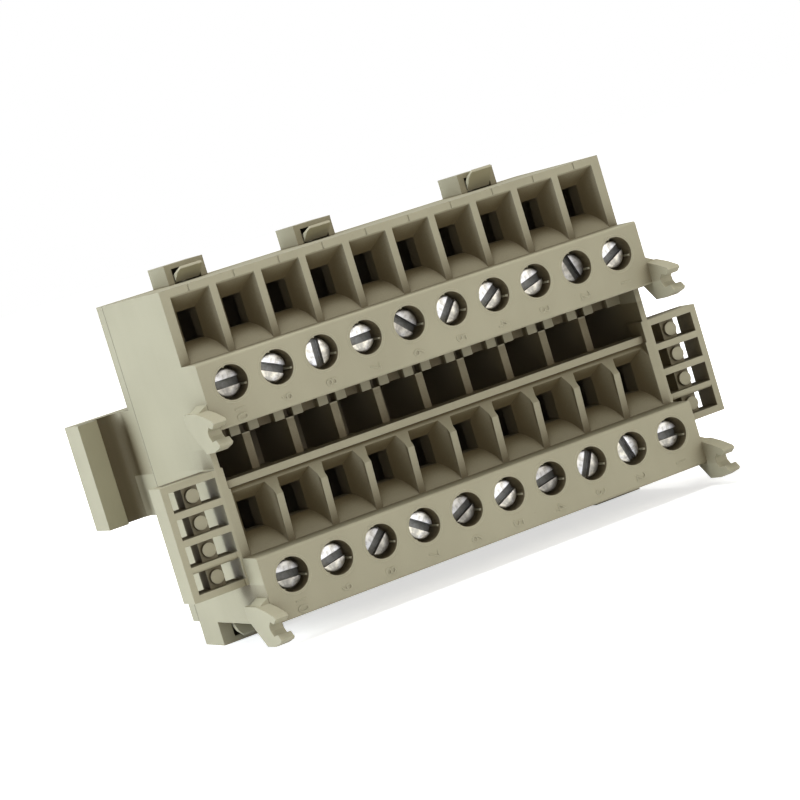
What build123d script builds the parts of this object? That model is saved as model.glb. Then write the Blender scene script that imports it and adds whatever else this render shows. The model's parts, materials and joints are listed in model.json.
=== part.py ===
"""Ten way feed-through terminal block with an upper and a lower row of screw clamps.

Sizes are in millimetres. +X runs along the rows, -Y is the wiring side and +Z is up.
The origin is the middle of the rear face of the cover, between the two mounting feet.
"""
import os

from build123d import *

os.makedirs("parts", exist_ok=True)

# Rows
ways = 10
pitch = 6.0
end_margin = 0.75
body_depth = 19.6
cover_thickness = 2.0
tier_drop = 23.35
lower_step = 0.45

# One tier, measured down from its top and back from its funnel face
mouth_drop = 0.9
mouth_width = 5.1
mouth_height = 8.15
wire_hole_width = 2.5
wire_hole_height = 3.7
wire_hole_drop = 2.9
funnel_depth = 2.8
block_drop = 9.1
block_height = 8.1
block_reach = 4.25
block_round = 0.35
screw_drop = 12.25

# Chambers behind the funnels
chamber_width = 5.0
chamber_front = 5.0
chamber_roof = 1.9
chamber_height = 14.1

# Middle row of pockets
pocket_width = 5.0
pocket_setback = 3.6
pocket_lintel = 1.7
pocket_back = 1.0
tab_width = 1.3
tab_gap = 1.2
tab_gap_depth = 1.8
lintel_notch_depth = 1.4
pocket_floor_drop = 0.8
sill_setback = 0.75
wall_width = 0.9
wall_crown = 0.5
wall_crown_length = 5.8
wall_bevel_height = 2.4
wall_bevel_depth = 1.85

# Screws and their holes
head_diameter = 3.4
head_thickness = 1.8
head_recess = 1.3
slot_width = 1.0
slot_depth = 0.9
shank_diameter = 3.0
shank_length = 15.6
screw_fit = 0.05
screw_end_gap = 0.55
guide_clearance = 0.375

# Clamp jaws
jaw_side_gap = 0.2
jaw_length = 4.2
jaw_rear_gap = 0.3
jaw_foot_drop = 15.0
jaw_nose_drop = 8.2
jaw_crest_length = 1.0
jaw_crest_gap = 0.5

# Current bars
bar_width = 4.4
bar_thickness = 1.0
bar_front = 6.0
bar_bend = 1.2

# Combs at both ends of the lower tier
comb_drop = 21.6
comb_width = 7.2
comb_depth = 3.6
comb_cells = 4
comb_rib = 0.83
comb_cell_height = 2.46
comb_rib_round = 0.38
comb_outer_bar = 0.85
comb_inner_bar = 0.25
comb_web_width = 2.05
comb_web_depth = 2.35
comb_peg_diameter = 1.7
comb_peg_height = 0.6

# Corner hooks on the sides of the screw blocks, as forward and drop from the tier's face and top
hook_thickness = 1.7
hook_outline = (
    (0.4, 14.45),
    (3.9, 14.45),
    (6.3, 14.95),
    (8.35, 15.55),
    (8.7, 15.9),
    (7.8, 16.45),
    (6.8, 16.2),
    (6.2, 16.75),
    (6.25, 17.35),
    (6.8, 17.95),
    (7.95, 17.75),
    (8.65, 18.4),
    (8.3, 18.7),
    (6.4, 19.2),
    (4.0, 19.25),
    (2.0, 17.45),
    (0.4, 16.0),
)
gusset_root = ((-3.5, 15.3), (1.0, 13.8), (4.2, 13.8), (4.2, 17.1), (-2.0, 17.1))
gusset_crown = ((0.6, 15.3), (1.4, 14.7), (4.2, 14.7), (4.2, 17.1), (1.8, 17.1))

# Latches between the housing and the cover
latch_width = 5.3
latch_height = 2.5
latch_length = 5.5
latch_bar = 0.6
tongue_width = 3.3
tongue_thickness = 0.6
tongue_clearance = 0.15
tongue_lean = 1.7
tongue_corner = 0.45
top_latch_ways = (2, 5, 9)
top_tongue_rises = (1.2, 1.2, 1.9)
bottom_latch_width = 6.9
bottom_latch_height = 3.0
bottom_latch_length = 6.0
bottom_latch_bar = 0.7
bottom_tongue_rise = 1.7

# Cover and its mounting feet
seam_edge = 0.15
pad_width = 3.6
pad_height = 5.0
foot_height = 13.5
foot_lift = 0.3
foot_width = 8.6
foot_neck = 3.85
foot_round = 1.15
foot_web = 3.1
foot_groove = 3.55
foot_lip_width = 2.6
foot_lip_height = 1.85

# Small moulding marks above each funnel
mark_width = 0.16
mark_depth = 0.12

# Slot angles of the screws as they were left, seen from the wiring side
upper_slot_angles = (0, -24, 89, 2, -44, 50, 35, 16, -71, 27)
lower_slot_angles = (-3, 12, 43, -33, 27, 26, 12, 63, -72, 0)

# Derived places
spine_front = head_recess + head_thickness + shank_length + screw_end_gap - block_reach
pocket_depth = spine_front - pocket_setback - pocket_back
half_length = ways * pitch / 2 + end_margin
inner_half = ways * pitch / 2
body_height = tier_drop + block_drop + block_height
top_z = body_height / 2
front_y = -(body_depth + cover_thickness)
seam_y = -cover_thickness
way_x = [(way - (ways - 1) / 2) * pitch for way in range(ways)]
wall_x = [(wall - ways / 2) * pitch for wall in range(1, ways)]
tiers = {"upper": (front_y, top_z), "lower": (front_y - lower_step, top_z - tier_drop)}
hole_radius = head_diameter / 2 + guide_clearance
bore_radius = shank_diameter / 2 + screw_fit
over = 1.0


def face_plane(y):
    """Upright plane at depth y, with its normal towards the wiring side."""
    return Plane.XZ.offset(-y)


# Cutter for one wire funnel: the plan taper and the side taper, intersected
funnel_end = chamber_front + lower_step
hole_top = -wire_hole_drop
hole_base = -(wire_hole_drop + wire_hole_height)
mouth_top = -mouth_drop
mouth_base = -(mouth_drop + mouth_height)
with BuildPart() as funnel:
    with BuildSketch(Plane.XY.offset(mouth_base - over)):
        with BuildLine():
            Polyline(
                (-mouth_width / 2, -over),
                (-mouth_width / 2, 0),
                (-wire_hole_width / 2, funnel_depth),
                (-wire_hole_width / 2, funnel_end),
                (wire_hole_width / 2, funnel_end),
                (wire_hole_width / 2, funnel_depth),
                (mouth_width / 2, 0),
                (mouth_width / 2, -over),
                close=True,
            )
        make_face()
    extrude(amount=mouth_drop + mouth_height + 2 * over)
    with BuildSketch(Plane.YZ):
        with BuildLine():
            Polyline(
                (0, mouth_base),
                (-over, mouth_base),
                (-over, mouth_top),
                (0, mouth_top),
                (funnel_depth, hole_top),
                (funnel_end, hole_top),
                (funnel_end, hole_base),
                (funnel_depth, hole_base),
            )
            TangentArc((funnel_depth, hole_base), (0, mouth_base), tangent=(-1, -0.4))
        make_face()
    extrude(amount=mouth_width, both=True, mode=Mode.INTERSECT)

# Cutter for one way's chamber: an upper and a lower room joined along the rear
room_base = chamber_roof + chamber_height
with BuildPart() as chamber:
    with BuildSketch(Plane.YZ):
        with BuildLine():
            Polyline(
                (front_y + chamber_front, top_z - chamber_roof),
                (seam_y + over, top_z - chamber_roof),
                (seam_y + over, top_z - tier_drop - room_base),
                (front_y + chamber_front, top_z - tier_drop - room_base),
                (front_y + chamber_front, top_z - tier_drop - chamber_roof),
                (front_y + spine_front, top_z - tier_drop - chamber_roof),
                (front_y + spine_front, top_z - room_base),
                (front_y + chamber_front, top_z - room_base),
                close=True,
            )
        make_face()
    extrude(amount=chamber_width / 2, both=True)

# Corner hook for the right end, standing out along +X from the side of the block
with BuildPart() as hook:
    with BuildSketch(Plane.YZ):
        with BuildLine():
            Polyline(*[(-forward, -drop) for forward, drop in hook_outline], close=True)
        make_face()
    extrude(amount=hook_thickness)

# Gusset that carries the hook's outer face back into the end wall
with BuildPart() as gusset:
    for height, corners in ((0, gusset_root), (hook_thickness, gusset_crown)):
        with BuildSketch(Plane.YZ.offset(height)):
            with BuildLine():
                Polyline(*[(-forward, -drop) for forward, drop in corners], close=True)
            make_face()
    loft(ruled=True)

# Comb: a frame crossed by round fronted ribs, with a web behind them and a peg in each cell
comb_height = comb_cells * comb_cell_height + (comb_cells + 1) * comb_rib
comb_opening = comb_width - comb_outer_bar - comb_inner_bar
comb_middle = -comb_inner_bar - comb_opening / 2
comb_pitch = comb_cell_height + comb_rib
with BuildPart() as comb:
    with BuildSketch(face_plane(0)):
        with Locations((-comb_width / 2 + over / 2, 0)):
            Rectangle(comb_width + over, comb_height)
        with Locations((comb_middle, 0)):
            Rectangle(comb_opening, comb_height - 2 * comb_rib, mode=Mode.SUBTRACT)
    extrude(amount=-comb_depth)
    with BuildSketch(Plane.YZ.offset(comb_middle)) as ribs:
        with Locations((comb_depth / 2, 0)):
            with GridLocations(1, comb_pitch, 1, comb_cells - 1):
                Rectangle(comb_depth, comb_rib)
        fillet(ribs.vertices().group_by(Axis.Y)[0], comb_rib_round)
    extrude(amount=comb_opening / 2, both=True)
    with BuildSketch(face_plane(comb_depth)):
        with Locations((comb_middle, 0)):
            Rectangle(comb_web_width, comb_height - comb_rib)
    extrude(amount=comb_web_depth)
    with BuildSketch(face_plane(comb_depth - comb_web_depth)):
        with Locations((comb_middle, 0)):
            with GridLocations(1, comb_pitch, 1, comb_cells):
                Circle(comb_peg_diameter / 2)
    extrude(amount=comb_peg_height)

# Latch loops: bridges that the cover's tongues pass through
tongue_way = tongue_width + 2 * tongue_clearance


def loop_part(width, height, length, bar):
    """Bridge that stands up from its own origin and runs back from it."""
    with BuildPart() as loop:
        with BuildSketch(face_plane(0)):
            with Locations((0, height / 2 - over / 2)):
                Rectangle(width, height + over)
            with Locations((0, (height - bar) / 2)):
                Rectangle(tongue_way, height - bar, mode=Mode.SUBTRACT)
        extrude(amount=-length)
    return loop.part


# Housing: one moulding with both tiers, the pocket row, combs, hooks and latch loops
channel_top = top_z - block_drop - block_height
channel_base = top_z - tier_drop
channel_height = channel_top - channel_base
pocket_face = front_y + pocket_setback
pocket_height = channel_height - pocket_lintel
bottom_latch_x = half_length - bottom_latch_width / 2
top_loop = loop_part(latch_width, latch_height, latch_length, latch_bar)
bottom_loop = loop_part(bottom_latch_width, bottom_latch_height, bottom_latch_length, bottom_latch_bar)
comb_y = front_y - lower_step
comb_z = top_z - comb_drop - comb_height / 2

with BuildPart() as housing:
    with BuildSketch(Plane.YZ) as side:
        with BuildLine():
            Polyline(
                (seam_y, -top_z),
                (seam_y, top_z),
                (front_y, top_z),
                (front_y, top_z - block_drop),
                (front_y - block_reach, top_z - block_drop),
                (front_y - block_reach, channel_top),
                (front_y - lower_step, channel_top),
                (front_y - lower_step, channel_base - block_drop),
                (front_y - lower_step - block_reach, channel_base - block_drop),
                (front_y - lower_step - block_reach, -top_z),
                close=True,
            )
        make_face()
        fillet(side.vertices().group_by(Axis.X)[0] + side.vertices().group_by(Axis.X)[1], block_round)
    extrude(amount=half_length, both=True)
    chamfer(housing.faces().sort_by(Axis.Y)[-1].edges(), seam_edge)

    # The channel in front of the pockets, then the pockets and the notched lintel above them
    with BuildSketch(face_plane(pocket_face)):
        with Locations((0, (channel_top + channel_base) / 2)):
            Rectangle(2 * inner_half, channel_height)
    extrude(amount=pocket_setback + lower_step + over, mode=Mode.SUBTRACT)
    with BuildSketch(face_plane(pocket_face)):
        with Locations((0, channel_base - pocket_floor_drop)):
            Rectangle(2 * inner_half, pocket_height + pocket_floor_drop, align=(Align.CENTER, Align.MIN))
        with Locations(*[(x, 0) for x in wall_x]):
            Rectangle(pitch - pocket_width, channel_height + 2 * pocket_floor_drop, mode=Mode.SUBTRACT)
    extrude(amount=-pocket_depth, mode=Mode.SUBTRACT)
    with BuildSketch(face_plane(pocket_face)):
        with Locations(*[(x, channel_top - pocket_lintel / 2) for x in wall_x]):
            Rectangle(tab_gap, pocket_lintel)
    extrude(amount=-tab_gap_depth, mode=Mode.SUBTRACT)
    with BuildSketch(face_plane(pocket_face)):
        with Locations(*[(x, channel_top - pocket_lintel / 2) for x in way_x]):
            Rectangle(pitch - tab_gap - 2 * tab_width, pocket_lintel)
    extrude(amount=-lintel_notch_depth, mode=Mode.SUBTRACT)

    # Wire funnels in both tiers, then the set back sill and bevelled walls of the lower ones
    with Locations(*[(x, y, z) for y, z in tiers.values() for x in way_x]):
        add(funnel.part, mode=Mode.SUBTRACT)
    bevel_z = channel_base - mouth_drop
    crown_y = comb_y - wall_crown
    crown_z = bevel_z - wall_bevel_height
    crown_slope = wall_bevel_height / wall_bevel_depth
    with BuildSketch(face_plane(comb_y + sill_setback)):
        with Locations((0, bevel_z)):
            Rectangle(2 * inner_half, mouth_drop, align=(Align.CENTER, Align.MIN))
    extrude(amount=sill_setback + over, mode=Mode.SUBTRACT)
    with BuildSketch(Plane.YZ):
        with BuildLine():
            Polyline(
                (crown_y - over, crown_z),
                (crown_y, crown_z),
                (crown_y + wall_bevel_depth, bevel_z),
                (crown_y - over, bevel_z),
                close=True,
            )
        make_face()
    extrude(amount=inner_half - wall_width / 2, both=True, mode=Mode.SUBTRACT)
    for x in wall_x:
        with BuildSketch(Plane.YZ.offset(x)):
            with BuildLine():
                Polyline(
                    (comb_y + sill_setback, crown_z + crown_slope * (sill_setback + wall_crown)),
                    (crown_y, crown_z),
                    (comb_y, crown_z - wall_crown_length),
                    (comb_y + sill_setback, crown_z - wall_crown_length),
                    close=True,
                )
            make_face()
        extrude(amount=wall_width / 2, both=True)

    # Screw holes: a recess for the head, then the shank bore
    for tier_y, tier_z in tiers.values():
        hole_places = [(x, tier_z - screw_drop) for x in way_x]
        mouth_y = tier_y - block_reach
        seat_y = mouth_y + head_recess + head_thickness
        with BuildSketch(face_plane(mouth_y)):
            with Locations(*hole_places):
                Circle(hole_radius)
        extrude(amount=mouth_y - seat_y, mode=Mode.SUBTRACT)
        with BuildSketch(face_plane(seat_y)):
            with Locations(*hole_places):
                Circle(bore_radius)
        extrude(amount=seat_y - front_y - chamber_front - over, mode=Mode.SUBTRACT)

    # Chambers for the clamps and current bars, open to the rear
    with Locations(*[(x, 0, 0) for x in way_x]):
        add(chamber.part, mode=Mode.SUBTRACT)

    # Small moulding marks on the top band above every funnel and along the lower edge
    with BuildSketch(face_plane(front_y + mark_depth)):
        with Locations(*[(x, top_z - mouth_drop / 2) for x in way_x]):
            Rectangle(mark_width, mouth_drop)
    extrude(amount=over, mode=Mode.SUBTRACT)

    # Hooks, combs and latch loops
    for tier_y, tier_z in tiers.values():
        for bracket in (hook.part, gusset.part):
            placed = Pos(half_length, tier_y, tier_z) * bracket
            add(placed)
            add(mirror(placed, about=Plane.YZ))
    with Locations(Location((-half_length, comb_y, comb_z))):
        add(comb.part)
    add(mirror(Pos(-half_length, comb_y, comb_z) * comb.part, about=Plane.YZ))
    with Locations(*[(way_x[way - 1], seam_y - latch_length, top_z) for way in top_latch_ways]):
        add(top_loop)
    for side in (-1, 1):
        with Locations(Location((side * bottom_latch_x, seam_y - bottom_latch_length, -top_z), (0, 180, 0))):
            add(bottom_loop)
housing.part.label = "housing"
export_step(housing.part, "parts/housing.step")

# Cover: a plate that closes the rear, with latch tongues, pads on the bars and two feet
tongue_base = tongue_clearance
tongue_top = tongue_base + tongue_thickness


def tongue_profile(loop_y, rise):
    """Side outline of a tongue that runs forward through its loop and leans up in front of it."""
    elbow = loop_y + tongue_thickness
    tip = loop_y - tongue_lean - tongue_clearance
    return [
        (seam_y + over, tongue_base),
        (elbow - tongue_thickness / 2, tongue_base),
        (tip, tongue_top + rise - tongue_thickness / 2),
        (tip + tongue_thickness / 2, tongue_top + rise),
        (elbow + tongue_thickness / 4, tongue_top),
        (seam_y + over, tongue_top),
    ]


tongues = [(way_x[way - 1], latch_length, rise, 1) for way, rise in zip(top_latch_ways, top_tongue_rises)]
tongues += [(side * bottom_latch_x, bottom_latch_length, bottom_tongue_rise, -1) for side in (-1, 1)]
foot_root = half_length
foot_seat = foot_neck

with BuildPart() as rear_cover:
    with BuildSketch(face_plane(0)):
        Rectangle(2 * half_length, body_height)
    extrude(amount=cover_thickness)
    chamfer(rear_cover.faces().sort_by(Axis.Y)[0].edges(), seam_edge)

    # Pads that hold the current bars against the housing
    with BuildSketch(face_plane(seam_y)):
        with Locations(*[(x, channel_base + channel_height / 2) for x in way_x]):
            Rectangle(pad_width, pad_height)
    extrude(amount=body_depth - spine_front - bar_thickness)

    # Latch tongues above and below
    for x, loop_length, rise, sign in tongues:
        outline = tongue_profile(seam_y - loop_length, rise)
        with BuildSketch(Plane.YZ.offset(x)):
            with BuildLine():
                Polyline(*[(y, sign * (top_z + z)) for y, z in outline], close=True)
            make_face()
        extrude(amount=tongue_width / 2, both=True)
        tip_z = sign * (top_z + tongue_top + rise)
        with BuildSketch(face_plane(seam_y - loop_length - tongue_clearance)):
            with BuildLine():
                Polyline(
                    (x - tongue_width / 2, tip_z - sign * 1.5 * tongue_corner),
                    (x - tongue_width / 2, tip_z),
                    (x - tongue_width / 2 + tongue_corner, tip_z),
                    close=True,
                )
            make_face()
        extrude(amount=tongue_lean + over, mode=Mode.SUBTRACT)
        with Locations((x, seam_y + over, sign * (top_z + tongue_top / 2 - over / 2))):
            Box(tongue_width, over, tongue_top + over, align=(Align.CENTER, Align.MIN, Align.CENTER))

    # Mounting feet: a neck with a hollow round root, a grooved arm and an outer lip
    with BuildSketch(Plane.XY.offset(foot_lift - foot_height / 2)) as feet:
        with BuildLine():
            Polyline(
                (-foot_root + foot_width, -over),
                (-foot_root, -over),
                (-foot_root, foot_seat - foot_round),
            )
            RadiusArc((-foot_root, foot_seat - foot_round), (-foot_root - foot_round, foot_seat), -foot_round)
            Polyline(
                (-foot_root - foot_round, foot_seat),
                (-foot_root - foot_groove, foot_seat),
                (-foot_root - foot_groove, foot_seat - foot_lip_height),
                (-foot_root - foot_groove - foot_lip_width, foot_seat - foot_lip_height),
                (-foot_root - foot_groove - foot_lip_width, foot_seat + foot_web),
                (-foot_root + foot_width, foot_seat + foot_web),
                (-foot_root + foot_width, -over),
            )
        make_face()
        mirror(about=Plane.YZ)
    extrude(amount=foot_height)
rear_cover.part.label = "rear_cover"
export_step(rear_cover.part, "parts/rear_cover.step")

# Current bars: one bent strip per way, from the upper clamp to the lower clamp
bar_upper = top_z - chamber_roof
bar_lower = bar_upper - tier_drop - bar_thickness
bar_rear = front_y + spine_front + bar_thickness
with BuildPart() as bar:
    with BuildSketch(Plane.YZ) as bar_side:
        with BuildLine():
            Polyline(
                (front_y + bar_front, bar_upper),
                (bar_rear, bar_upper),
                (bar_rear, bar_lower),
                (front_y + bar_front, bar_lower),
                (front_y + bar_front, bar_lower + bar_thickness),
                (bar_rear - bar_thickness, bar_lower + bar_thickness),
                (bar_rear - bar_thickness, bar_upper - bar_thickness),
                (front_y + bar_front, bar_upper - bar_thickness),
                close=True,
            )
        make_face()
        fillet(bar_side.vertices().group_by(Axis.X)[-1], bar_bend)
    extrude(amount=bar_width / 2, both=True)
for number, x in enumerate(way_x, 1):
    placed = Pos(x, 0, 0) * bar.part
    placed.label = f"current_bar_{number:02d}"
    export_step(placed, f"parts/{placed.label}.step")

# Clamp screw, made on the Y axis with the top of its head at the origin
with BuildPart() as screw:
    with BuildSketch(Plane.XY):
        with BuildLine():
            Polyline(
                (0, 0),
                (head_diameter / 2, 0),
                (head_diameter / 2, head_thickness),
                (shank_diameter / 2, head_thickness),
                (shank_diameter / 2, head_thickness + shank_length),
                (0, head_thickness + shank_length),
                close=True,
            )
        make_face()
    revolve(axis=Axis.Y)
    with BuildSketch(face_plane(0)):
        Rectangle(2 * head_diameter, slot_width)
    extrude(amount=-slot_depth, mode=Mode.SUBTRACT)

# Clamp jaw: a wedge nut on the screw, with a ramp that lifts the wire against the bar
jaw_rear = spine_front - jaw_rear_gap
jaw_front = jaw_rear - jaw_length
jaw_crest = chamber_roof + bar_thickness + jaw_crest_gap
with BuildPart() as jaw:
    with BuildSketch(Plane.YZ):
        with BuildLine():
            Polyline(
                (jaw_rear, -jaw_crest),
                (jaw_rear, -jaw_foot_drop),
                (jaw_front, -jaw_foot_drop),
                (jaw_front, -jaw_nose_drop),
                (jaw_rear - jaw_crest_length, -jaw_crest),
                close=True,
            )
        make_face()
    extrude(amount=chamber_width / 2 - jaw_side_gap, both=True)
    with BuildSketch(face_plane(jaw_front)):
        with Locations((0, -screw_drop)):
            Circle(bore_radius)
    extrude(amount=-jaw_length, mode=Mode.SUBTRACT)

slot_angles = {"upper": upper_slot_angles, "lower": lower_slot_angles}
for tier, (tier_y, tier_z) in tiers.items():
    for number, x in enumerate(way_x, 1):
        turned = Rot(0, -slot_angles[tier][number - 1], 0) * screw.part
        placed_screw = Pos(x, tier_y - block_reach + head_recess, tier_z - screw_drop) * turned
        placed_screw.label = f"{tier}_screw_{number:02d}"
        export_step(placed_screw, f"parts/{placed_screw.label}.step")
        placed_jaw = Pos(x, front_y, tier_z) * jaw.part
        placed_jaw.label = f"{tier}_clamp_{number:02d}"
        export_step(placed_jaw, f"parts/{placed_jaw.label}.step")
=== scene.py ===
"""Looks of the ten way feed-through terminal block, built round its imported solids.

Sizes are in metres in the frame of the solids: +X runs along the rows, -Y is the wiring
side, +Z is up, and the origin is the middle of the cover's rear face.
"""
import json
import math
from functools import reduce
from operator import mul

import bmesh
import bpy
from mathutils import Matrix, Vector


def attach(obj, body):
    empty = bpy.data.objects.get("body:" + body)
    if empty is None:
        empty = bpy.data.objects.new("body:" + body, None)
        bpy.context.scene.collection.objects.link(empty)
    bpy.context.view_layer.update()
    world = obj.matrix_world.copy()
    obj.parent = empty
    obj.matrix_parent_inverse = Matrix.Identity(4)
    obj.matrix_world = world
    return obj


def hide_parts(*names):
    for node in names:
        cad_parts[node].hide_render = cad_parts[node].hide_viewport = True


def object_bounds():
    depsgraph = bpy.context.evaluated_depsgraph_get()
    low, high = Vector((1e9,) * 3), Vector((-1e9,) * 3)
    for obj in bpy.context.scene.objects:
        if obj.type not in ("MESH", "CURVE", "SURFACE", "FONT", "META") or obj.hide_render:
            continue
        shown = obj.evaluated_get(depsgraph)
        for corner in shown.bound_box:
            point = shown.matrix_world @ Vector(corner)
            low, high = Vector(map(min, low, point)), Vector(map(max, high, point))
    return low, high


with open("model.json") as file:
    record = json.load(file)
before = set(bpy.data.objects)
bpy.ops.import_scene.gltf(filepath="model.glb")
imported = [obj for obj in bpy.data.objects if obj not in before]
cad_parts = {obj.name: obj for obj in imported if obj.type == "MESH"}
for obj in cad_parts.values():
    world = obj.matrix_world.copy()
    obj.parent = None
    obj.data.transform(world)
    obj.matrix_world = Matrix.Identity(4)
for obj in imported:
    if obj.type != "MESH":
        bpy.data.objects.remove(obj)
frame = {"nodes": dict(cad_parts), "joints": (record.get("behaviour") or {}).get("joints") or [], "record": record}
cad_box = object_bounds()
MM = 0.001

# Sizes of the moulding that the pieces fit
body_top = 20.275 * MM
head_recess = 1.3 * MM

# Each screw turns about the middle of its head's face, and its hole opens a recess in front of that
turns = [joint for joint in frame["joints"] if joint["type"] == "hinge"]
head_middles = {joint["child"]: Vector(joint["pos_m"]) for joint in turns}
hole_mouths = {screw: middle - Vector((0, head_recess, 0)) for screw, middle in head_middles.items()}
ways = len(head_middles) // 2


class Value:
    """A shader socket that takes part in Python arithmetic."""

    def __init__(self, shader, socket):
        self.shader = shader
        self.socket = socket

    def maths(self, operation, *inputs):
        return self.shader.node("ShaderNodeMath", {"operation": operation}, dict(enumerate(inputs)))

    def __add__(self, other):
        return self.maths("ADD", self, other)

    def __sub__(self, other):
        return self.maths("SUBTRACT", self, other)

    def __rsub__(self, other):
        return self.maths("SUBTRACT", other, self)

    def __mul__(self, other):
        return self.maths("MULTIPLY", self, other)

    def __abs__(self):
        return self.maths("ABSOLUTE", self)

    __radd__ = __add__
    __rmul__ = __mul__

    def sine(self):
        return self.maths("SINE", self)

    def at_most(self, limit):
        return self.maths("MINIMUM", self, limit)

    def rise(self, low, high):
        """0 below low, 1 above high and a smooth step between them."""
        sockets = {"Value": self, "From Min": low, "From Max": high}
        return self.shader.node("ShaderNodeMapRange", {"interpolation_type": "SMOOTHSTEP"}, sockets)


class Shader:
    """The nodes of a material or world, with one method for every kind of node."""

    def __init__(self, owner):
        owner.use_nodes = True
        self.owner = owner
        self.tree = owner.node_tree
        self.tree.nodes.clear()

    def node(self, kind, settings=None, sockets=None, output=0):
        node = self.tree.nodes.new(kind)
        for name, setting in (settings or {}).items():
            setattr(node, name, setting)
        for name, given in (sockets or {}).items():
            if isinstance(given, Value):
                self.tree.links.new(given.socket, node.inputs[name])
            else:
                node.inputs[name].default_value = given
        return Value(self, node.outputs[output]) if node.outputs else None

    def place(self):
        return self.node("ShaderNodeTexCoord", output="Object")

    def stretched(self, where, factors):
        return self.node("ShaderNodeVectorMath", {"operation": "MULTIPLY"}, {0: where, 1: factors})

    def directions(self, where):
        """The place as its distance out from the middle, back along Y, up, and off the level plane."""
        x, y, z = (self.node("ShaderNodeSeparateXYZ", None, {"Vector": where}, axis) for axis in "XYZ")
        return {"out": abs(x), "back": y, "up": z, "off_level": abs(z)}

    def noise(self, where, scale, detail=2.0, roughness=0.5):
        sockets = {"Vector": where, "Scale": scale, "Detail": detail, "Roughness": roughness}
        return self.node("ShaderNodeTexNoise", None, sockets)

    def mix(self, factor, first, second):
        return self.node("ShaderNodeMix", {"data_type": "RGBA"}, {0: factor, 6: first, 7: second}, 2)

    def rounded(self, radius):
        """The surface's normal as if its edges had this radius."""
        return self.node("ShaderNodeBevel", {"samples": 4}, {"Radius": radius})

    def edges(self, rounded):
        """0 on flat faces, towards 1 where the rounded normal leaves the true one."""
        normal = self.node("ShaderNodeNewGeometry", output="True Normal")
        settings = {"operation": "DOT_PRODUCT"}
        dot = self.node("ShaderNodeVectorMath", settings, {0: rounded, 1: normal}, "Value")
        return (1 - dot).rise(0.01, 0.22)

    def bump(self, height, distance, strength, normal=None):
        sockets = {"Height": height, "Distance": distance, "Strength": strength}
        if normal is not None:
            sockets["Normal"] = normal
        return self.node("ShaderNodeBump", None, sockets)

    def shut_in(self, distance):
        """0 in the open, towards 1 where the piece's own walls within this distance shut the place in."""
        settings = {"samples": 8, "only_local": True}
        return 1 - self.node("ShaderNodeAmbientOcclusion", settings, {"Distance": distance}, "AO")

    def ray(self, kind):
        """1 for rays of this kind and 0 for the others."""
        return self.node("ShaderNodeLightPath", output=kind)

    def background_seen(self, glossy_share):
        """1 for rays that show the background plainly, less for reflections and 0 for other light."""
        plain = self.ray("Is Camera Ray") + self.ray("Is Transmission Ray")
        return (plain + self.ray("Is Glossy Ray") * glossy_share).at_most(1.0)

    def surface(self, sockets):
        finish = self.node("ShaderNodeBsdfPrincipled", None, sockets)
        self.node("ShaderNodeOutputMaterial", None, {"Surface": finish})
        return self.owner


def within(directions, stretches):
    """1 inside a soft-edged box and 0 outside it.

    Each direction's stretch is the ramp on which the box starts and the one on which it ends, in
    millimetres, with None for an end that it doesn't have.
    """
    ramps = []
    for direction, (start, end) in stretches.items():
        if start:
            ramps.append(directions[direction].rise(start[0] * MM, start[1] * MM))
        if end:
            ramps.append(1 - directions[direction].rise(end[0] * MM, end[1] * MM))
    return reduce(mul, ramps)


# Parts of the moulding where shade is painted in, or where the painted hollow shade is lessened, as stretches for
# within()
comb_heights = ((-15.5, -15.3), (-1.3, -1.1))
comb_sides = ((31.2, 31.4), (37.0, 37.1))
moulding_places = {
    "latches": {"off_level": ((20.3, 20.5), None)},
    "top_band": {"up": ((19.1, 19.3), None), "back": (None, (-21.3, -21.0))},
    "foot_groove": {"back": ((2.1, 3.3), (3.86, 3.90)), "out": ((30.9, 32.6), (36.5, 36.7))},
    "foot_lip": {"back": ((1.5, 1.9), (2.03, 2.08)), "out": ((34.0, 34.2), None)},
    "level_with_comb": {"up": comb_heights},
    "comb": {"up": comb_heights, "out": comb_sides, "back": (None, (-18.6, -18.4))},
    "comb_web": {"back": ((-21.3, -20.9), None)},
    "comb_floor": {"back": ((-20.75, -20.6), None)},
    "end_by_comb": {"up": comb_heights, "out": ((30.6, 30.7), (31.1, 31.2))},
    "hooks": {"out": ((30.7, 31.0), None), "back": (None, (-6.0, -2.0))},
    "lintel": {"up": ((1.1, 1.3), (3.2, 3.4)), "back": (None, (-18.0, -16.5))},
    "seam": {"back": ((-2.16, -2.02), (-1.98, -1.84))},
}
slot_in_head = {"off_level": (None, (0.47, 0.52)), "back": ((0.03, 0.20), (1.0, 1.1))}

# How much of the painted hollow shade each open part is spared
spared = {
    "latches": 0.35,
    "top_band": 0.85,
    "hooks": 0.85,
    "end_by_comb": 0.7,
    "lintel": 0.5,
    "comb": 0.35,
}

# How near walls have to be to shade the plastic and the metal, and how round an edge looks
hollow_reach = 11 * MM
crevice_reach = 3 * MM
edge_radius = 0.13 * MM
lathe_rings = 60000  # radians per metre, so one ring in about 0.1 mm

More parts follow.
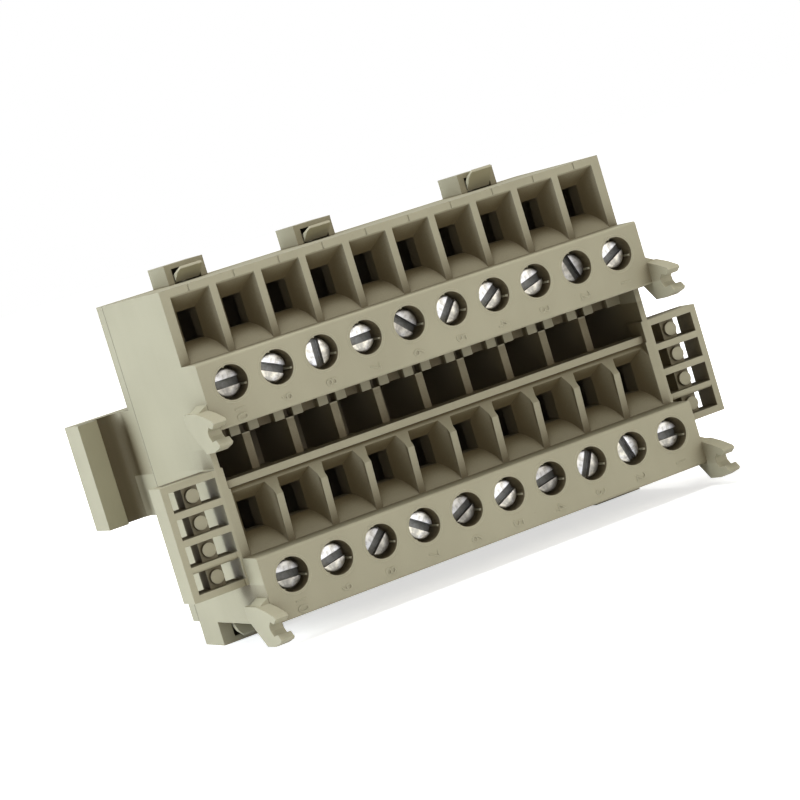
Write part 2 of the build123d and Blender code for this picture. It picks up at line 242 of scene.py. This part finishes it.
# Colours, linear
beige = (0.402, 0.373, 0.262, 1)
cover_beige = (0.406, 0.378, 0.268, 1)
beige_shade = (0.346, 0.319, 0.220, 1)
beige_edge_highlight = (0.575, 0.540, 0.395, 1)
brown_speck = (0.16, 0.14, 0.10, 1)
groove_shadow_brown = (0.045, 0.040, 0.018, 1)
comb_shadow_brown = (0.070, 0.055, 0.026, 1)
lip_shadow_beige = (0.20, 0.185, 0.095, 1)
hollow_shadow_brown = (0.090, 0.062, 0.020, 1)
deep_hollow_bounce_beige = (0.190, 0.160, 0.105, 1)
seam_shadow_brown = (0.035, 0.030, 0.020, 1)
loop_shadow_brown = (0.070, 0.055, 0.030, 1)
loop_shade = (0.05, 0.04, 0.02, 1)
loop_edge_highlight = (0.09, 0.07, 0.04, 1)
bright_zinc = (0.84, 0.85, 0.90, 1)
warm_zinc = (0.80, 0.76, 0.66, 1)
dull_zinc = (0.36, 0.35, 0.33, 1)
aged_zinc = (0.16, 0.15, 0.14, 1)
slot_shadow_grey = (0.10, 0.10, 0.09, 1)
crevice_shadow_grey = (0.03, 0.03, 0.025, 1)
pressed_steel = (0.48, 0.47, 0.45, 1)
bright_tin = (0.62, 0.60, 0.56, 1)
dull_tin = (0.50, 0.47, 0.42, 1)
white = (1.0, 1.0, 1.0, 1)
black = (0.0, 0.0, 0.0, 1)


def plastic(name, colour, shade, light):
    """Satin moulded polyamide: flow clouds, fine grain, edges lightened as a painted highlight, and painted shade
    in its hollows, grooves, comb and seam.
    """
    shader = Shader(bpy.data.materials.new(name))
    where = shader.place()
    rounded = shader.rounded(edge_radius)
    edge = shader.edges(rounded)
    clouds = shader.noise(where, 70, 3)
    streaks = shader.noise(shader.stretched(where, (1, 1, 0.15)), 420)
    grain = shader.noise(where, 5200, 3, 0.6)
    specks = shader.noise(where, 2600).rise(0.70, 0.80)
    body = shader.mix(clouds.rise(0.3, 0.7) * 0.6 + streaks * 0.4, shade, colour)
    body = shader.mix(specks * 0.18, body, brown_speck)
    # Edges lightened with a paler beige as a painted highlight
    body = shader.mix(edge * 0.55, body, light)

    directions = shader.directions(where)
    on = {place: within(directions, stretches) for place, stretches in moulding_places.items()}
    on["hooks"] = on["hooks"] * (1 - on["level_with_comb"])
    in_comb = on["comb"] * (on["comb_web"] * 0.12 + on["comb_floor"] * 0.70)
    in_seam = on["seam"] * (1 - on["latches"])
    lessened = [1 - on[place] * share for place, share in spared.items()]
    shut_in = reduce(mul, lessened, shader.shut_in(hollow_reach))
    # Painted shadow in the foot's groove
    body = shader.mix(on["foot_groove"] * 0.85, body, groove_shadow_brown)
    # Painted shadow on the comb's webs and floor
    body = shader.mix(in_comb, body, comb_shadow_brown)
    # Painted shade on the front face of the foot's lip
    body = shader.mix(on["foot_lip"] * 0.45, body, lip_shadow_beige)
    # Painted shade in the hollows, by how shut in they are
    body = shader.mix(shut_in.rise(0.02, 0.64) * 0.92, body, hollow_shadow_brown)
    # Painted shade in the deepest hollows, a little lighter than the hollow shade, standing in for bounced light
    body = shader.mix(shut_in.rise(0.70, 0.92) * 0.80, body, deep_hollow_bounce_beige)
    # Painted shadow in the seam between cover and housing
    body = shader.mix(in_seam * 0.90, body, seam_shadow_brown)
    sockets = {
        "Base Color": body,
        "Roughness": 0.50 + grain * 0.14 + clouds * 0.06 - edge * 0.08 + in_comb * 0.3,
        "Normal": shader.bump(grain + streaks * 0.6, 0.02 * MM, 0.35, rounded),
        "IOR": 1.5,
    }
    return shader.surface(sockets)


def turned_metal(name, colour, shade, roughness):
    """Plated metal with lathe rings about the piece's own Y axis, a film in patches, and painted shade in its slot
    and crevices.
    """
    shader = Shader(bpy.data.materials.new(name))
    where = shader.place()
    flat = shader.stretched(where, (1, 0, 1))
    radius = shader.node("ShaderNodeVectorMath", {"operation": "LENGTH"}, {0: flat}, "Value")
    rings = (radius * lathe_rings).sine()
    film = shader.noise(where, 1100, 4, 0.6)
    fine = shader.noise(where, 9000)
    cast = shader.noise(where, 420).rise(0.40, 0.62)
    age = shader.node("ShaderNodeObjectInfo", output="Random").rise(0.15, 0.95)
    in_slot = within(shader.directions(where), slot_in_head)
    body = shader.mix(film.rise(0.42, 0.62) * 0.75, shader.mix(cast, colour, warm_zinc), shade)
    body = shader.mix(age * (0.35 + film * 0.6), body, aged_zinc)
    # Painted shade in the slot
    body = shader.mix(in_slot * 0.80, body, slot_shadow_grey)
    # Painted shade in the screw's crevices, by how shut in they are
    body = shader.mix(shader.shut_in(crevice_reach).rise(0.42, 0.92) * 0.6, body, crevice_shadow_grey)
    sockets = {
        "Base Color": body,
        "Metallic": 1.0,
        "Roughness": roughness + film * 0.16 + fine * 0.08 + in_slot * 0.2,
        "Normal": shader.bump(rings * 0.5 + fine * 0.5, 0.01 * MM, 0.25),
    }
    return shader.surface(sockets)


def rolled_metal(name, colour, shade, roughness):
    """Plain sheet metal with rolling lines along X and a mottled film."""
    shader = Shader(bpy.data.materials.new(name))
    where = shader.place()
    lines = shader.noise(shader.stretched(where, (0.08, 1, 1)), 4000, 3)
    film = shader.noise(where, 500, 4)
    sockets = {
        "Base Color": shader.mix(film.rise(0.3, 0.7), colour, shade),
        "Metallic": 1.0,
        "Roughness": roughness + film * 0.15 + lines * 0.1,
        "Normal": shader.bump(lines, 0.01 * MM, 0.3),
    }
    return shader.surface(sockets)


finishes = {
    "housing_plastic": plastic("housing_plastic_moulded", beige, beige_shade, beige_edge_highlight),
    "cover_plastic": plastic("cover_plastic_moulded", cover_beige, beige_shade, beige_edge_highlight),
    "zinc_plated_steel": turned_metal("zinc_plate", bright_zinc, dull_zinc, 0.24),
    "plain_steel": rolled_metal("pressed_steel", pressed_steel, dull_zinc, 0.35),
    "tinned_copper": rolled_metal("tin_plate", bright_tin, dull_tin, 0.30),
}


def finish_with(mesh, material):
    mesh.materials.clear()
    mesh.materials.append(material)


for part in frame["record"]["subparts"]:
    finish_with(frame["nodes"][part["node"]].data, finishes[part["material_slot"]])


def placed(name, data, at=Matrix.Identity(4)):
    """A new object in the scene."""
    made = bpy.data.objects.new(name, data)
    bpy.context.scene.collection.objects.link(made)
    made.matrix_world = at
    return made


def turned(degrees):
    """A turn about Y, anticlockwise as seen from the wiring side."""
    return Matrix.Rotation(math.radians(-degrees), 4, "Y")


def new_piece(name, mesh, slot, body, at=Matrix.Identity(4), finish=None):
    """A piece of the object that rides on a body and has its slot's finish unless it gets its own."""
    finish_with(mesh, finish or finishes[slot])
    piece = placed(name, mesh, at)
    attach(piece, body)
    return piece


def mesh_of(built, name):
    """The mesh that was built, with its faces turned outwards."""
    bmesh.ops.recalc_face_normals(built, faces=built.faces)
    mesh = bpy.data.meshes.new(name)
    built.to_mesh(mesh)
    built.free()
    return mesh


def box(built, sizes, middle):
    """A box's vertices; its edges follow the axes."""
    made = bmesh.ops.create_cube(built, size=1.0)["verts"]
    bmesh.ops.scale(built, vec=sizes, verts=made)
    bmesh.ops.translate(built, vec=middle, verts=made)
    return made


def ring(built, radii, middle):
    """One row of vertices round a line along Y, with a radius for each."""
    row = []
    for step, radius in enumerate(radii):
        angle = 2 * math.pi * step / len(radii)
        around = Vector((radius * math.sin(angle), 0, radius * math.cos(angle)))
        row.append(built.verts.new(middle + around))
    return row


def skin(built, rows):
    """Faces between rows of vertices that run round."""
    for low, high in zip(rows, rows[1:]):
        for step in range(len(low)):
            after = (step + 1) % len(low)
            built.faces.new((low[step], low[after], high[after], high[step]))


def closed_skin(built, rows):
    """Faces between rows of vertices and over both ends."""
    skin(built, rows)
    built.faces.new(rows[0])
    built.faces.new(reversed(rows[-1]))


# Screws: a slotted head with a rounded rim on a threaded shank
head_radius = 1.7 * MM
head_thickness = 1.8 * MM
head_rim = 0.22 * MM
rim_middle_in = 0.05 * MM
rim_middle_down = 0.06 * MM
under_rim = 0.1 * MM
head_softening = 0.04 * MM
head_steps = 64
shank_crest = 1.5 * MM
shank_root = 1.26 * MM
shank_length = 15.6 * MM
shank_overlap = 0.1 * MM
thread_pitch = 0.5 * MM
thread_lead_in = 0.6 * MM
rows_per_turn = 4
thread_steps = 24
slot_width = 1.0 * MM
slot_depth = 0.9 * MM
slot_round = 0.08 * MM
slot_angles = {
    "upper": (0, -24, 89, 2, -44, 50, 35, 16, -71, 27),
    "lower": (-3, 12, 43, -33, 27, 26, 12, 63, -72, 0),
}


def head_blank():
    """The head before it is slotted, turned from a profile of radii and depths."""
    built = bmesh.new()
    profile = [(head_radius - head_rim, 0.0), (head_radius - rim_middle_in, rim_middle_down)]
    profile += [(head_radius, head_rim), (head_radius, head_thickness - under_rim)]
    profile += [(head_radius - under_rim, head_thickness), (shank_root, head_thickness)]
    rows = [ring(built, [radius] * head_steps, Vector((0, y, 0))) for radius, y in profile]
    closed_skin(built, rows)
    return mesh_of(built, "head_blank")


def slot_cutter():
    """A bar as wide as the slot, its two lower edges rounded."""
    built = bmesh.new()
    box(built, Vector((3 * head_radius, 2 * slot_depth, slot_width)), Vector((0, 0, 0)))
    lower_edges = []
    for edge in built.edges:
        first, second = (vert.co for vert in edge.verts)
        if abs((first - second).x) > head_radius and first.y > 0:
            lower_edges.append(edge)
    bmesh.ops.bevel(built, geom=lower_edges, offset=slot_round, segments=2, affect="EDGES")
    return mesh_of(built, "slot_cutter")


def slotted_head():
    """The blank with its slot cut and every edge softened."""
    blank = placed("head_blank", head_blank())
    cutter = placed("slot_cutter", slot_cutter())
    cut = blank.modifiers.new("slot", "BOOLEAN")
    cut.object = cutter
    cut.operation = "DIFFERENCE"
    cut.solver = "EXACT"
    soften = blank.modifiers.new("soft_edges", "BEVEL")
    soften.width = head_softening
    soften.segments = 2
    soften.limit_method = "ANGLE"
    soften.angle_limit = math.radians(50)
    graph = bpy.context.evaluated_depsgraph_get()
    head = bpy.data.meshes.new_from_object(blank.evaluated_get(graph))
    bpy.data.objects.remove(blank)
    bpy.data.objects.remove(cutter)
    return head


def thread_radius(y, step):
    """The thread's radius at a depth and a step round the shank, lower where it runs out at the tip."""
    phase = (y / thread_pitch - step / thread_steps) % 1.0
    height = 1 - abs(2 * phase - 1)
    run_out = min(1.0, (head_thickness + shank_length - y) / thread_lead_in + 0.1)
    return shank_root + (shank_crest - shank_root) * height * run_out


def terminal_screw():
    """The screw with its head's face at the origin and its shank along +Y."""
    built = bmesh.new()
    built.from_mesh(slotted_head())
    count = int(shank_length / thread_pitch * rows_per_turn)
    rows = []
    for level in range(count + 1):
        y = head_thickness - shank_overlap + (shank_length + shank_overlap) * level / count
        radii = [thread_radius(y, step) for step in range(thread_steps)]
        rows.append(ring(built, radii, Vector((0, y, 0))))
    closed_skin(built, rows)
    mesh = mesh_of(built, "terminal_screw")
    mesh.shade_smooth()
    mesh.set_sharp_from_angle(angle=math.radians(32))
    return mesh


shared_screw = terminal_screw()
for node, middle in head_middles.items():
    tier, _, number = node.split("_")
    at = Matrix.Translation(middle) @ turned(slot_angles[tier][int(number) - 1])
    piece = new_piece(f"{node}_slotted", shared_screw, "zinc_plated_steel", node, at)
    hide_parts(node)

# Three thin guide ribs in every screw hole
hole_radius = 2.075 * MM
rib_width = 0.30 * MM
rib_inner = 1.86 * MM
rib_outer = hole_radius + 0.03 * MM
rib_start = 0.45 * MM
rib_end = head_recess + head_thickness
rib_slope = 0.12 * MM
rib_taper = 0.6
rib_angles = (-18, 98, 228)


def guide_ribs():
    built = bmesh.new()
    sizes = Vector((rib_outer - rib_inner, rib_end - rib_start, rib_width))
    middle = Vector(((rib_inner + rib_outer) / 2, (rib_start + rib_end) / 2, 0))
    for mouth in hole_mouths.values():
        for angle in rib_angles:
            made = box(built, sizes, middle)
            for vert in made:
                if vert.co.x < middle.x:
                    vert.co.z *= rib_taper
                    if vert.co.y < middle.y:
                        vert.co.y += rib_slope
            bmesh.ops.transform(built, matrix=Matrix.Translation(mouth) @ turned(angle), verts=made)
    return mesh_of(built, "screw_guide_ribs")


new_piece("screw_guide_ribs", guide_ribs(), "housing_plastic", "base")

# A faint raised ring round every screw hole, from a profile of radii and heights in millimetres
ring_steps = 48
ring_profile = ((2.32, -0.02), (2.36, 0.035), (2.42, 0.035), (2.46, -0.02))


def hole_rings():
    built = bmesh.new()
    for mouth in hole_mouths.values():
        rows = []
        for radius, height in ring_profile:
            rows.append(ring(built, [radius * MM] * ring_steps, mouth - Vector((0, height * MM, 0))))
        skin(built, rows)
    return mesh_of(built, "screw_hole_rings")


new_piece("screw_hole_rings", hole_rings(), "housing_plastic", "base")

# Walls that close the latch loops behind the tongues, coloured dark brown as painted shadow
top_latch_ways = (2, 5, 9)
bottom_latch_x = 27.3 * MM
loop_wall = Vector((3.60, 0.4, 0)) * MM
loop_wall_y = -2.4 * MM
loop_wall_foot = 0.78 * MM
top_loop_head = 1.90 * MM
bottom_loop_head = 2.30 * MM


def loop_walls():
    built = bmesh.new()
    loops = [(head_middles[f"upper_screw_{way:02d}"].x, top_loop_head, 1) for way in top_latch_ways]
    loops += [(side * bottom_latch_x, bottom_loop_head, -1) for side in (-1, 1)]
    for x, loop_head, side in loops:
        sizes = loop_wall + Vector((0, 0, loop_head - loop_wall_foot))
        middle = Vector((x, loop_wall_y, side * (body_top + (loop_wall_foot + loop_head) / 2)))
        box(built, sizes, middle)
    return mesh_of(built, "latch_loop_walls")


# The loop walls' plastic is painted shadow, with its edges lightened as painted highlights
shadow_plastic = plastic("shaded_plastic", loop_shadow_brown, loop_shade, loop_edge_highlight)
new_piece("latch_loop_walls", loop_walls(), "cover_plastic", "base", finish=shadow_plastic)

# Way numbers in low relief under the screws, laid on their side; digits fill 0.7 of the font's size
digit_height = 1.4 * MM
digit_share = 0.7
digit_relief = 0.11 * MM
digit_drop = 3.7 * MM
lying = Matrix(((0, 1, 0, 0), (0, 0, -1, 0), (-1, 0, 0, 0), (0, 0, 0, 1)))


def number_mesh(text):
    """A number as a solid mesh, upright in the XY plane."""
    curve = bpy.data.curves.new("number", "FONT")
    curve.body = text
    curve.size = digit_height / digit_share
    curve.extrude = digit_relief
    curve.align_x = "CENTER"
    curve.align_y = "CENTER"
    curve.resolution_u = 4
    holder = placed("number", curve)
    graph = bpy.context.evaluated_depsgraph_get()
    mesh = bpy.data.meshes.new_from_object(holder.evaluated_get(graph))
    bpy.data.objects.remove(holder)
    return mesh


for screw, mouth in hole_mouths.items():
    tier, _, number = screw.split("_")
    mesh = number_mesh(str(ways + 1 - int(number)))
    mesh.transform(Matrix.Translation(mouth - Vector((0, 0, digit_drop))) @ lying)
    new_piece(f"{tier}_number_{number}", mesh, "housing_plastic", "base")

# Floor and world: white to the eye and dim in reflections, so that the plastic keeps its colour
glossy_share = 0.3
world_fill = 0.11
floor_span = 6.0
floor_gap = 0.02 * MM
floor_middle = Vector((0, -15, 0)) * MM
glow_near = (0.62, 0.62, 0.62, 1)
glow_ramp = (35 * MM, 110 * MM)
paper_dark = (0.86, 0.86, 0.86, 1)
paper_light = (0.88, 0.88, 0.88, 1)


def white_floor():
    """White paper with a glow that lights nothing, less of it round the object, where its shadow shows."""
    shader = Shader(bpy.data.materials.new("white_floor"))
    where = shader.place()
    settings = {"operation": "DISTANCE"}
    from_middle = shader.node("ShaderNodeVectorMath", settings, {0: where, 1: floor_middle}, "Value")
    glow = shader.mix(from_middle.rise(*glow_ramp), glow_near, white)
    sockets = {
        "Base Color": shader.mix(shader.noise(where, 300), paper_dark, paper_light),
        "Roughness": 0.9,
        "Emission Color": shader.mix(shader.background_seen(glossy_share), black, glow),
        "Emission Strength": 1.0,
    }
    return shader.surface(sockets)


bpy.ops.mesh.primitive_plane_add(size=floor_span, location=(0, 0, cad_box[0].z - floor_gap))
floor = bpy.context.object
floor.name = "floor"
floor.data.materials.append(white_floor())

world = bpy.data.worlds.new("studio")
bpy.context.scene.world = world
shader = Shader(world)
fill = shader.node("ShaderNodeBackground", None, {"Color": white, "Strength": world_fill})
shown = shader.node("ShaderNodeBackground", None, {"Color": white, "Strength": 1.0})
seen = shader.background_seen(glossy_share)
both = shader.node("ShaderNodeMixShader", None, {0: seen, 1: fill, 2: shown})
shader.node("ShaderNodeOutputWorld", None, {"Surface": both})


def soft_box(name, place, size, power, tint):
    """A square lamp of so many watts at a place, turned to the object."""
    data = bpy.data.lights.new(name, "AREA")
    data.color = tint
    data.size = size
    data.energy = power
    facing = (-Vector(place)).to_track_quat("-Z", "Y").to_matrix().to_4x4()
    placed(name, data, Matrix.Translation(place) @ facing)


soft_box("key", (-0.68, 0.02, 0.22), 0.30, 4.2, (0.91, 1.0, 1.10))
soft_box("front", (0.30, -0.64, 0.22), 0.50, 1.25, (1.02, 0.99, 0.92))
soft_box("near_camera", (-0.10, -0.70, 0.14), 0.25, 0.85, (1.02, 0.985, 0.92))
soft_box("top", (-0.05, -0.02, 0.75), 0.50, 4.4, (1.0, 1.0, 0.97))

# Camera: the photograph's viewing angle, with its roll about the line of sight
yaw = math.radians(25.2953)
dip = math.radians(4.7651)
roll = math.radians(16.8562)
distance = 339.07 * MM
aim = Vector((-5.117, -21.6, -0.718)) * MM

ahead = Vector((math.sin(yaw) * math.cos(dip), math.cos(yaw) * math.cos(dip), -math.sin(dip)))
level = Vector((math.cos(yaw), -math.sin(yaw), 0))
above = level.cross(ahead)
right = math.cos(roll) * level - math.sin(roll) * above
up = math.sin(roll) * level + math.cos(roll) * above
camera_data = bpy.data.cameras.new("camera")
camera_data.sensor_width = 36
camera_data.lens = 126.94
camera_data.clip_start = 0.01
camera_data.clip_end = 10
facing = Matrix((right, up, -ahead)).transposed().to_4x4()
camera = placed("camera", camera_data, Matrix.Translation(aim - ahead * distance) @ facing)
bpy.context.scene.camera = camera
bpy.context.scene.view_settings.view_transform = "Standard"
